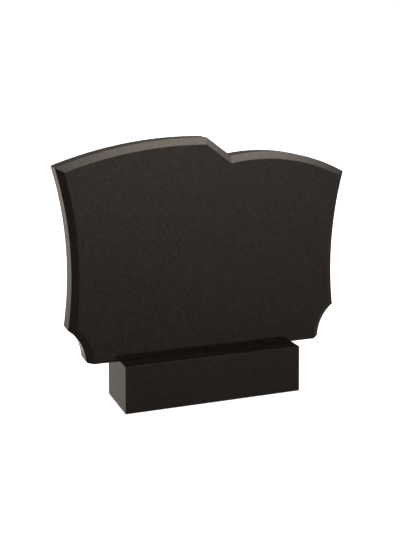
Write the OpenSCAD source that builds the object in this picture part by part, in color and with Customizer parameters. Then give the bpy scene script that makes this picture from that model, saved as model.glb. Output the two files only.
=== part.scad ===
// Headstone: an upright polished slab of dark granite, the stele, standing on a plain
// rectangular block of the same stone, the plinth. The stele has a lopsided top of two
// crowns parted by a straight step, hollowed sides, and a quarter hollow over each foot.
//
// Axes: X along the width, Y from the face to the back, Z up.
// Origin: the middle of the plinth's underside. The stele's face looks towards -Y.

/* [Plinth] */
// Width of the plinth, along X
plinth_w = 600; // [500:10:760]
// Depth of the plinth, along Y
plinth_d = 200; // [120:5:300]
// Height of the plinth
plinth_h = 150; // [80:5:250]

/* [Stele] */
// Width of the stele between its two top corners
stele_w = 1000; // [960:10:1040]
// Height of the stele at its peak
stele_h = 700; // [680:5:720]
// Thickness of the stele
stele_t = 80; // [50:5:120]

/* [Top] */
// Height of the left top corner above the foot of the stele
left_corner_h = 622; // [600:1:640]
// Height of the right top corner above the foot of the stele
right_corner_h = 568; // [550:1:590]
// Radius of the left crown, from the left corner up to the peak
left_crown_r = 1330; // [1200:10:1500]
// Radius of the right crown, from the foot of the step to the right corner
right_crown_r = 645; // [620:5:720]
// Distance of the peak to the right of the stele's centre line
peak_x = 0; // [-10:1:10]
// Drop of the step below the peak; it runs four along for every three down
step_drop = 63; // [50:1:70]

/* [Sides] */
// Radius of each hollowed side
side_r = 1200; // [1000:10:1500]
// Width of the stele at its foot
foot_w = 812; // [780:2:830]
// Radius of the quarter hollow over each foot
hollow_r = 135; // [125:1:145]
// Height of the cusp where each side meets its hollow
cusp_h = 110; // [100:1:118]
// Radius that rounds each foot's lower corner
foot_r = 10; // [4:1:15]

/* [Bevel] */
// Width of the bevel, measured across the face
bevel_w = 22; // [10:1:26]
// Depth of the bevel, measured into the thickness
bevel_d = 16; // [6:1:22]

/* [Hidden] */
$fn = 360;

granite = [0.17, 0.15, 0.14];
past = 20;          // how far a cutter runs past the stone that it cuts
step_along = 4;     // slope of the step: it runs this far along
step_down = 3;      // for every this far down
slight = 0.1;       // how far a foot's rounding stands out from touching its hollow's wall

// Corners of the stele's outline, as [x, height above its foot]
left_corner = [-stele_w / 2, left_corner_h];
peak = [peak_x, stele_h];
step_foot = [peak_x + step_drop * step_along / step_down, stele_h - step_drop];
right_corner = [stele_w / 2, right_corner_h];
hollow_x = foot_w / 2 + hollow_r;
cusp_x = hollow_x - sqrt(pow(hollow_r, 2) - pow(cusp_h, 2));
left_cusp = [-cusp_x, cusp_h];
right_cusp = [cusp_x, cusp_h];

// Centre of the foot's rounding, which meets the hollow's wall at a very slight angle
round_x = hollow_x - sqrt(pow(hollow_r, 2) - pow(foot_r, 2)) - foot_r + slight;

// Angle of the step below the horizontal, along a line through the peak
step_angle = atan2(step_down, step_along);

// Centre of the circle of radius r through a and b, on the left of the way from a to b
function centre_left_of(a, b, r) =
    let (way = b - a)
    (a + b) / 2 + [-way.y, way.x] / norm(way) * sqrt(pow(r, 2) - pow(norm(way) / 2, 2));

// Turns a round body about Y, its centre at c in the plane of the face
module about_y(c)
    translate([c.x, 0, c.y]) rotate([-90, 0, 0]) rotate_extrude() children();

// Disc as thick as the stele, its front rim bevelled: the stone under a crown
module crown_disc(c, r)
    about_y(c) polygon([[0, 0], [r - bevel_w, 0], [r, bevel_d], [r, stele_t], [0, stele_t]]);

// Drum that hollows an edge, flared at the front so that it leaves a bevel there
module hollowing_drum(c, r)
    about_y(c) polygon([
        [0, -past],
        [r + bevel_w * (1 + past / bevel_d), -past],
        [r, bevel_d],
        [r, stele_t + past],
        [0, stele_t + past]
    ]);

// Wedge that takes off all stone above the step's line, and bevels the edge that it leaves
module step_cut()
    translate([peak.x, 0, peak.y]) rotate([0, step_angle, 0]) rotate([90, 0, 90])
        translate([0, 0, -past]) linear_extrude(stele_w)
            polygon([
                [-past, -bevel_w * (1 + past / bevel_d)],
                [bevel_d, 0],
                [stele_t + past, 0],
                [stele_t + past, stele_w / 2],
                [-past, stele_w / 2]
            ]);

// Stone under the two crowns: they meet in a mitre at the foot of the step
module crowned_stone() {
    difference() {
        crown_disc(centre_left_of(peak, left_corner, left_crown_r), left_crown_r);
        step_cut();
    }
    crown_disc(centre_left_of(right_corner, step_foot, right_crown_r), right_crown_r);
}

// Sawn block that the stele is cut from: only its underside is left as it is
module blank()
    translate([-stele_w / 2 - past, 0, 0]) cube([stele_w + 2 * past, stele_t, stele_h + past]);

// Rounds the lower corner of the foot on the side of sign s, from the hollow to the underside
module foot_rounding(s)
    translate([s * round_x, 0, foot_r]) rotate([90, 0, 0])
        translate([0, 0, -stele_t - past]) linear_extrude(stele_t + 2 * past)
            difference() {
                translate([s > 0 ? 0 : -past, -foot_r - past]) square([past, past + foot_r]);
                circle(foot_r);
            }

module stele()
    color(granite) translate([0, -stele_t / 2, plinth_h]) difference() {
        intersection() {
            blank();
            crowned_stone();
        }
        hollowing_drum(centre_left_of(left_cusp, left_corner, side_r), side_r);
        hollowing_drum(centre_left_of(right_corner, right_cusp, side_r), side_r);
        for (s = [-1, 1]) {
            hollowing_drum([s * hollow_x, 0], hollow_r);
            foot_rounding(s);
        }
    }

module plinth()
    color(granite) translate([-plinth_w / 2, -plinth_d / 2, 0]) cube([plinth_w, plinth_d, plinth_h]);

stele();
plinth();
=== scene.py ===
"""Looks of the headstone: a polished black gabbro stele on its plinth, in a white studio."""

import math

import bmesh
import bpy
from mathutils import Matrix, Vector


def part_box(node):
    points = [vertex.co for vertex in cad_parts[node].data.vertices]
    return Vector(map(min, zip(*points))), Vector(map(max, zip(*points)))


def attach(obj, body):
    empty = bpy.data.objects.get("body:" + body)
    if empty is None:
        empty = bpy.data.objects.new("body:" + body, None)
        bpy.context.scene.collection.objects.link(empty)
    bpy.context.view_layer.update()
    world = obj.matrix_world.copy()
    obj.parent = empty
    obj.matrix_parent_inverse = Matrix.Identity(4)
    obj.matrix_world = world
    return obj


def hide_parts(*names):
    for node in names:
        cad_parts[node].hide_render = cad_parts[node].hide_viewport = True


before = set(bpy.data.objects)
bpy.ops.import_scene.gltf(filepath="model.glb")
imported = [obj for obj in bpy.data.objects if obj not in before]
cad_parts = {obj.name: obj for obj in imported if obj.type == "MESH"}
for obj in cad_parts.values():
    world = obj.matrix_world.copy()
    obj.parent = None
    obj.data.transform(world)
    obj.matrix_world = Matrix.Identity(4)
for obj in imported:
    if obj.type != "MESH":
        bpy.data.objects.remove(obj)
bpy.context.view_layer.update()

# Stele's outline, in metres, seen from the front: heights are above its foot
LEFT_CORNER_H = 0.622
RIGHT_CORNER_H = 0.568
PEAK_H = 0.700
LEFT_CROWN_R = 1.330
RIGHT_CROWN_R = 0.645
STEP_DROP = 0.063
STEP_RUN = 0.084
SIDE_R = 1.200
FOOT_W = 0.812
HOLLOW_R = 0.135
CUSP_H = 0.110
FOOT_R = 0.010

# Bevel round the face, across the face and into the thickness
BEVEL_W = 0.022
BEVEL_D = 0.016

# Eased edges: how far each one reaches from its corner, and the number of facets
ARRIS = 0.0003
ARRIS_FACETS = 3
CORNER_FACETS = 4
FOOT_FACETS = 10

# Longest step between two points of a curved edge
SAMPLE = 0.008

# Where an arc's stone lies: inside its circle or outside it
INSIDE = 1
OUTSIDE = -1

# Place of the step's foot, the only inner corner, in the list of corners
STEP_FOOT = 4

# Faces whose normal is lower than this are undersides, which are sawn and not polished
UNDERSIDE = -0.9

# Newton's steps to a point at given depths from two edges, which are more than enough
NEWTON_STEPS = 12

# Gabbro: its patterns, from coarse to fine, as the number to a metre
CLOUDS = 14
MOTTLES = 140
CRYSTALS = 380
GRIT = 700
SPECKS = 1100

# Gabbro's minerals, from the dark pyroxene to the palest flecks: place and colour
MINERALS = [
    (0.20, (0.0021, 0.0013, 0.0009)),
    (0.45, (0.0036, 0.0023, 0.0016)),
    (0.70, (0.0054, 0.0036, 0.0026)),
    (0.90, (0.0105, 0.0079, 0.0064)),
]

# Gabbro's shine, which varies upwards from the lowest lustre, and its relief in metres
IOR = 1.5
LOWEST_LUSTRE = 0.33
RELIEF_DEPTH = 0.0002

# Finishes: brightness against polished stone, lowest and highest roughness, relief
POLISHED = (1.0, 0.03, 0.07, 0.05)
SAWN = (20.0, 0.55, 0.75, 0.6)

# Studio, in metres
FLOOR_R = 14
FLOOR_COLOUR = (0.50, 0.50, 0.50, 1)
FLOOR_ROUGHNESS = 0.9
FLOOR_GLOW = 0.45
WHITE = (1, 1, 1, 1)
ROOM_LIGHT = 1.3
OVERHEAD_LIGHT = 3.0
OVERHEAD_SHARPNESS = 2.0

# Light tents: each lamp on them is its direction, strength and sharpness
TENT_Z = 0.45
TENT_COLOUR = (1.13, 1.0, 0.89)
CANOPY_R = 1.9
CANOPY_FLATNESS = 1.0
CANOPY_GLOW = 0.0
CANOPY_LAMPS = [
    ((0.469, 0.175, 0.866), 8.0, 13.1),
    ((0.061, -0.529, 0.846), 3.34, 7.3),
]
HALL_R = 12.0
HALL_FLATNESS = 0.4
HALL_GLOW = 0.11
HALL_LAMPS = [
    ((0.305, -0.939, -0.157), 0.45, 7.0),
    ((0.0, 0.80, -0.60), 0.46, 10.0),
    ((0.586, 0.586, -0.559), 0.60, 17.0),
]

# Camera: its place in metres, its angles in degrees, its lens and sensor in millimetres,
# and its shift as a share of the sensor's width
CAMERA = (-1.1146, -2.9083, 1.1305)
HEADING = 20.71
PITCH = 3.94
LENS = 86.34
SENSOR_W = 36
SHIFT = -0.375


class Arc:
    """A circular edge. Its stone lies on the given side: INSIDE the circle or OUTSIDE it."""

    def __init__(self, start, end, radius, side):
        way = end - start
        left = Vector((-way.y, way.x)).normalized()
        rise = math.sqrt(radius**2 - way.length_squared / 4)
        self.centre = (start + end) / 2 + left * rise * side
        self.radius = radius
        self.side = side
        self.length = 2 * radius * math.asin(way.length / 2 / radius)

    def depth(self, p):
        """How deep in the stone p lies, and the direction that goes deeper."""
        out = p - self.centre
        return self.side * (self.radius - out.length), out.normalized() * -self.side

    def between(self, a, b, t):
        """The point at share t of the way from a to b along the edge."""
        return turned(self.centre, a, b, t)


class Line:
    """A straight edge, with stone on the left of the way from start to end."""

    def __init__(self, start, end):
        way = end - start
        self.start = start
        self.left = Vector((-way.y, way.x)).normalized()
        self.length = way.length

    def depth(self, p):
        """How deep in the stone p lies, and the direction that goes deeper."""
        return (p - self.start).dot(self.left), self.left

    def between(self, a, b, t):
        """The point at share t of the way from a to b along the edge."""
        return a.lerp(b, t)


def turned(centre, a, b, t):
    """The point at share t of the way from a to b, turning about centre the short way."""
    u, v = a - centre, b - centre
    angle = math.atan2(u.x * v.y - u.y * v.x, u.dot(v)) * t
    c, s = math.cos(angle), math.sin(angle)
    size = u.length * (1 - t) + v.length * t
    return centre + Vector((u.x * c - u.y * s, u.x * s + u.y * c)).normalized() * size


def meet(a, b, depth_a, depth_b, near):
    """The point at these depths from edges a and b, by Newton's method from a point near it."""
    p = near.copy()
    for _ in range(NEWTON_STEPS):
        da, ga = a.depth(p)
        db, gb = b.depth(p)
        ea, eb = depth_a - da, depth_b - db
        det = ga.x * gb.y - ga.y * gb.x
        p += Vector((ea * gb.y - eb * ga.y, eb * ga.x - ea * gb.x)) / det
    return p


def stele_edges():
    """The outline's corners and edges, anticlockwise from the left end of the foot."""
    low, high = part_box("stele")
    half_w = (high.x - low.x) / 2
    half_foot = FOOT_W / 2
    cusp_x = half_foot + HOLLOW_R - math.sqrt(HOLLOW_R**2 - CUSP_H**2)
    outline = [
        (Vector((-half_foot, 0)), None),
        (Vector((half_foot, 0)), (HOLLOW_R, OUTSIDE)),
        (Vector((cusp_x, CUSP_H)), (SIDE_R, OUTSIDE)),
        (Vector((half_w, RIGHT_CORNER_H)), (RIGHT_CROWN_R, INSIDE)),
        (Vector((STEP_RUN, PEAK_H - STEP_DROP)), None),
        (Vector((0, PEAK_H)), (LEFT_CROWN_R, INSIDE)),
        (Vector((-half_w, LEFT_CORNER_H)), (SIDE_R, OUTSIDE)),
        (Vector((-cusp_x, CUSP_H)), (HOLLOW_R, OUTSIDE)),
    ]
    corners = [corner for corner, _ in outline]
    edges = [
        Arc(start, end, *arc) if arc else Line(start, end)
        for (start, arc), end in zip(outline, corners[1:] + corners[:1])
    ]
    return corners, edges


def ring(corners, edges, inset, foot_inset):
    """One closed ring of points: every edge moved inwards, and every corner eased."""
    # The foot's two corners come first. They are rounded outside, and only eased on the face
    share = min(1, max(0, inset - ARRIS) / (BEVEL_W - ARRIS))
    foot_r = FOOT_R + (ARRIS - FOOT_R) * share
    insets = [foot_inset] + [inset] * (len(edges) - 1)
    eases = [foot_r, foot_r] + [ARRIS] * (len(edges) - 2)
    eases[STEP_FOOT] = -ARRIS
    bends = []
    for i, (corner, ease) in enumerate(zip(corners, eases)):
        a, b = edges[i - 1], edges[i]
        centre = meet(a, b, insets[i - 1] + ease, insets[i] + ease, corner)
        tangents = [centre - e.depth(centre)[1] * ease for e in (a, b)]
        facets = FOOT_FACETS if i < 2 else CORNER_FACETS
        bends.append(
            [turned(centre, *tangents, k / facets) for k in range(facets + 1)]
        )
    points = []
    for i, edge in enumerate(edges):
        points += bends[i]
        start, end = bends[i][-1], bends[(i + 1) % len(bends)][0]
        steps = math.ceil(edge.length / SAMPLE)
        points += [edge.between(start, end, k / steps) for k in range(1, steps)]
    return points


def eased(before, corner, after):
    """Points on a small curve that eases a corner, at the ARRIS distance on both sides."""
    a = corner + (before - corner).normalized() * ARRIS
    b = corner + (after - corner).normalized() * ARRIS
    shares = [k / ARRIS_FACETS for k in range(ARRIS_FACETS + 1)]
    return [a.lerp(corner, t).lerp(corner.lerp(b, t), t) for t in shares]


def edge_section(thickness):
    """The section across a bevelled edge, front to back, as (inset, depth) of each ring."""
    stops = [
        Vector((2 * BEVEL_W, 0)),
        Vector((BEVEL_W, 0)),
        Vector((0, BEVEL_D)),
        Vector((0, thickness)),
        Vector((BEVEL_W, thickness)),
    ]
    return [p for i in (1, 2, 3) for p in eased(*stops[i - 1 : i + 2])]


def foot_insets(section):
    """The foot's inset at each ring of the section: it has eased edges but no bevel."""
    front = [p.x for p in eased(Vector((1, 0)), Vector((0, 0)), Vector((0, 1)))]
    back = [p.x for p in section[-len(front) :]]
    return front + [0.0] * (len(section) - len(front) - len(back)) + back


def add_object(name, bm, materials):
    """Makes a smooth-shaded object from a bmesh, its normals led by its large faces."""
    bmesh.ops.recalc_face_normals(bm, faces=bm.faces)
    mesh = bpy.data.meshes.new(name)
    for face in bm.faces:
        face.smooth = True
        face.material_index = int(face.normal.z < UNDERSIDE)
    bm.to_mesh(mesh)
    bm.free()
    for material in materials:
        mesh.materials.append(material)
    obj = bpy.data.objects.new(name, mesh)
    bpy.context.scene.collection.objects.link(obj)
    modifier = obj.modifiers.new("flat_faces", "WEIGHTED_NORMAL")
    modifier.weight = 100
    modifier.keep_sharp = False
    return obj


def make_stele(materials):
    """The stele, as one skin of rings from the face to the back."""
    low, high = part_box("stele")
    corners, edges = stele_edges()
    section = edge_section(high.y - low.y)
    bm = bmesh.new()
    rings = [
        [
            bm.verts.new((p.x, low.y + stop.y, low.z + p.y))
            for p in ring(corners, edges, stop.x, foot_inset)
        ]
        for stop, foot_inset in zip(section, foot_insets(section))
    ]
    for front, back in zip(rings, rings[1:]):
        for i in range(len(front)):
            bm.faces.new((front[i - 1], front[i], back[i], back[i - 1]))
    bm.faces.new(rings[0])
    bm.faces.new(reversed(rings[-1]))
    return add_object("stele_stone", bm, materials)


def make_plinth(materials):
    """The plinth, a block with eased edges."""
    low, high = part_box("plinth")
    bm = bmesh.new()
    bmesh.ops.create_cube(bm, size=1)
    for vert in bm.verts:
        vert.co = (low + high) / 2 + vert.co * (high - low)
    bmesh.ops.bevel(
        bm,
        geom=bm.edges,
        offset=ARRIS,
        segments=ARRIS_FACETS,
        profile=0.5,
        affect="EDGES",
    )
    return add_object("plinth_block", bm, materials)


class Nodes:
    """A short way to add nodes to a tree and link them."""

    def __init__(self, tree):
        tree.nodes.clear()
        self.tree = tree

    def add(self, kind, inputs=(), **settings):
        """A new node. Each input takes a value, or a socket to be linked to."""
        node = self.tree.nodes.new(kind)
        for name, value in settings.items():
            setattr(node, name, value)
        for name, value in dict(inputs).items():
            if isinstance(value, bpy.types.NodeSocket):
                self.tree.links.new(value, node.inputs[name])
            else:
                node.inputs[name].default_value = value
        return node

    def math(self, operation, a, b=0.0, c=0.0):
        inputs = {0: a, 1: b, 2: c}
        return self.add("ShaderNodeMath", inputs, operation=operation).outputs[0]

    def spread(self, value, span, low):
        """The value times the span, plus the low end."""
        return self.math("MULTIPLY_ADD", value, span, low)

    def ramp(self, value, stops):
        """A colour ramp through (place, colour) stops."""
        node = self.add("ShaderNodeValToRGB", {"Fac": value})
        elements = node.color_ramp.elements
        while len(elements) < len(stops):
            elements.new(1.0)
        for element, (place, colour) in zip(elements, stops):
            element.position = place
            element.color = (*colour, 1)
        return node.outputs["Color"]

    def tinted(self, colour, factor):
        """The colour, each channel times the factor."""
        inputs = {0: colour, "Scale": factor}
        return self.add("ShaderNodeVectorMath", inputs, operation="SCALE").outputs[0]


def grains(nodes, place, per_metre):
    """A random number for each crystal, and the distance from the crystal's middle."""
    inputs = {"Vector": place, "Scale": per_metre, "Randomness": 1.0}
    cells = nodes.add("ShaderNodeTexVoronoi", inputs, feature="F1")
    channels = nodes.add("ShaderNodeSeparateColor", {0: cells.outputs["Color"]})
    return channels.outputs[0], cells.outputs["Distance"]


def noise(nodes, place, per_metre, detail):
    """Smooth noise between 0 and 1."""
    inputs = {"Vector": place, "Scale": per_metre, "Detail": detail}
    return nodes.add("ShaderNodeTexNoise", inputs).outputs["Fac"]


def granite(name, brightness, rough_low, rough_high, relief):
    """Black gabbro: dark pyroxene and brown-grey feldspar crystals, with a few pale flecks."""
    material = bpy.data.materials.new(name)
    material.use_nodes = True
    nodes = Nodes(material.node_tree)
    place = nodes.add("ShaderNodeTexCoord").outputs["Object"]
    crystal, _ = grains(nodes, place, CRYSTALS)
    speck, speck_rim = grains(nodes, place, SPECKS)
    cloud = noise(nodes, place, CLOUDS, 3)
    mottle = noise(nodes, place, MOTTLES, 2)
    fine = noise(nodes, place, GRIT, 2)

    mineral = nodes.spread(speck, 0.45, nodes.math("MULTIPLY", crystal, 0.55))
    shade = nodes.spread(cloud, 0.5, 0.75)
    shade = nodes.math("MULTIPLY", shade, nodes.spread(mottle, 1.2, 0.4))
    shade = nodes.math("MULTIPLY", shade, nodes.spread(fine, 0.6, 0.7))
    shade = nodes.math("MULTIPLY", shade, brightness)
    colour = nodes.tinted(nodes.ramp(mineral, MINERALS), shade)

    lustre = nodes.spread(mottle, 0.24, nodes.spread(crystal, 0.10, LOWEST_LUSTRE))
    wear = nodes.spread(crystal, 0.5, nodes.math("MULTIPLY", cloud, 0.5))
    rough = nodes.spread(wear, rough_high - rough_low, rough_low)
    height = nodes.spread(mottle, 4.0, nodes.spread(speck_rim, 0.5, fine))
    inputs = {"Strength": relief, "Distance": RELIEF_DEPTH, "Height": height}
    normal = nodes.add("ShaderNodeBump", inputs).outputs["Normal"]
    inputs = {
        "Base Color": colour,
        "Roughness": rough,
        "IOR": IOR,
        "Specular IOR Level": lustre,
        "Normal": normal,
    }
    shader = nodes.add("ShaderNodeBsdfPrincipled", inputs)
    nodes.add("ShaderNodeOutputMaterial", {"Surface": shader.outputs[0]})
    return material


def add_stage(name, bm, material):
    """An object of the studio, made from a bmesh."""
    mesh = bpy.data.meshes.new(name)
    bm.to_mesh(mesh)
    bm.free()
    mesh.materials.append(material)
    obj = bpy.data.objects.new(name, mesh)
    bpy.context.scene.collection.objects.link(obj)
    return obj


def add_floor():
    """A wide pale floor, which glows a little. The polish mirrors the tents in its place."""
    bm = bmesh.new()
    bmesh.ops.create_circle(bm, cap_ends=True, segments=96, radius=FLOOR_R)
    material = bpy.data.materials.new("pale_floor")
    material.use_nodes = True
    shader = material.node_tree.nodes["Principled BSDF"]
    shader.inputs["Base Color"].default_value = FLOOR_COLOUR
    shader.inputs["Roughness"].default_value = FLOOR_ROUGHNESS
    shader.inputs["Emission Color"].default_value = WHITE
    shader.inputs["Emission Strength"].default_value = FLOOR_GLOW
    floor = add_stage("floor", bm, material)
    floor.visible_glossy = False


def add_tent(name, radius, flatness, glow, lamps):
    """A light tent round the stone, seen only in its polish: soft lamps on a dim cloth.
    A tent whose cloth has no glow lets the one behind it through."""
    bm = bmesh.new()
    bmesh.ops.create_uvsphere(bm, u_segments=64, v_segments=32, radius=radius)
    material = bpy.data.materials.new(name)
    material.use_nodes = True
    nodes = Nodes(material.node_tree)
    inputs = {0: nodes.add("ShaderNodeTexCoord").outputs["Object"]}
    way = nodes.add("ShaderNodeVectorMath", inputs, operation="NORMALIZE").outputs[0]
    total = glow
    for axis, strength, sharpness in lamps:
        inputs = {0: way, 1: Vector(axis).normalized()}
        facing = nodes.add("ShaderNodeVectorMath", inputs, operation="DOT_PRODUCT")
        near = nodes.math("MAXIMUM", facing.outputs["Value"], 0.0)
        lamp = nodes.math("POWER", near, sharpness)
        total = nodes.math("MULTIPLY_ADD", lamp, strength, total)
    inputs = {"Color": (*TENT_COLOUR, 1), "Strength": total}
    surface = nodes.add("ShaderNodeEmission", inputs).outputs[0]
    if not glow:
        clear = nodes.add("ShaderNodeBsdfTransparent").outputs[0]
        surface = nodes.add("ShaderNodeAddShader", {0: surface, 1: clear}).outputs[0]
    nodes.add("ShaderNodeOutputMaterial", {"Surface": surface})
    tent = add_stage(name, bm, material)
    tent.location.z = TENT_Z
    tent.scale.z = flatness
    for kind in ("camera", "diffuse", "transmission", "shadow"):
        setattr(tent, "visible_" + kind, False)


def add_room_light():
    """White light from all round, strongest overhead, which the polish doesn't mirror."""
    world = bpy.data.worlds.new("studio")
    world.use_nodes = True
    nodes = Nodes(world.node_tree)
    way = nodes.add("ShaderNodeTexCoord").outputs["Generated"]
    height = nodes.add("ShaderNodeSeparateXYZ", {0: way}).outputs["Z"]
    above = nodes.math("MAXIMUM", height, 0.0)
    overhead = nodes.math("POWER", above, OVERHEAD_SHARPNESS)
    strength = nodes.math("MULTIPLY_ADD", overhead, OVERHEAD_LIGHT, ROOM_LIGHT)
    background = nodes.add(
        "ShaderNodeBackground", {"Color": WHITE, "Strength": strength}
    )
    nodes.add("ShaderNodeOutputWorld", {"Surface": background.outputs[0]})
    bpy.context.scene.world = world
    world.cycles_visibility.glossy = False


def add_camera():
    """The camera, at the front left of the stone."""
    data = bpy.data.cameras.new("camera")
    data.sensor_fit = "HORIZONTAL"
    data.sensor_width = SENSOR_W
    data.lens = LENS
    data.shift_y = SHIFT
    camera = bpy.data.objects.new("camera", data)
    camera.location = CAMERA
    turn = (math.radians(90 - PITCH), 0, math.radians(-HEADING))
    camera.rotation_euler = turn
    bpy.context.scene.collection.objects.link(camera)
    bpy.context.scene.camera = camera


finishes = [granite("gabbro_polished", *POLISHED), granite("gabbro_sawn", *SAWN)]
for make, node, slot in (
    (make_stele, "stele", "stele_granite"),
    (make_plinth, "plinth", "plinth_granite"),
):
    piece = make(finishes)
    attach(piece, "root")
    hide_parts(node)

add_floor()
add_tent("canopy", CANOPY_R, CANOPY_FLATNESS, CANOPY_GLOW, CANOPY_LAMPS)
add_tent("hall", HALL_R, HALL_FLATNESS, HALL_GLOW, HALL_LAMPS)
add_room_light()
add_camera()
bpy.context.scene.view_settings.view_transform = "Standard"
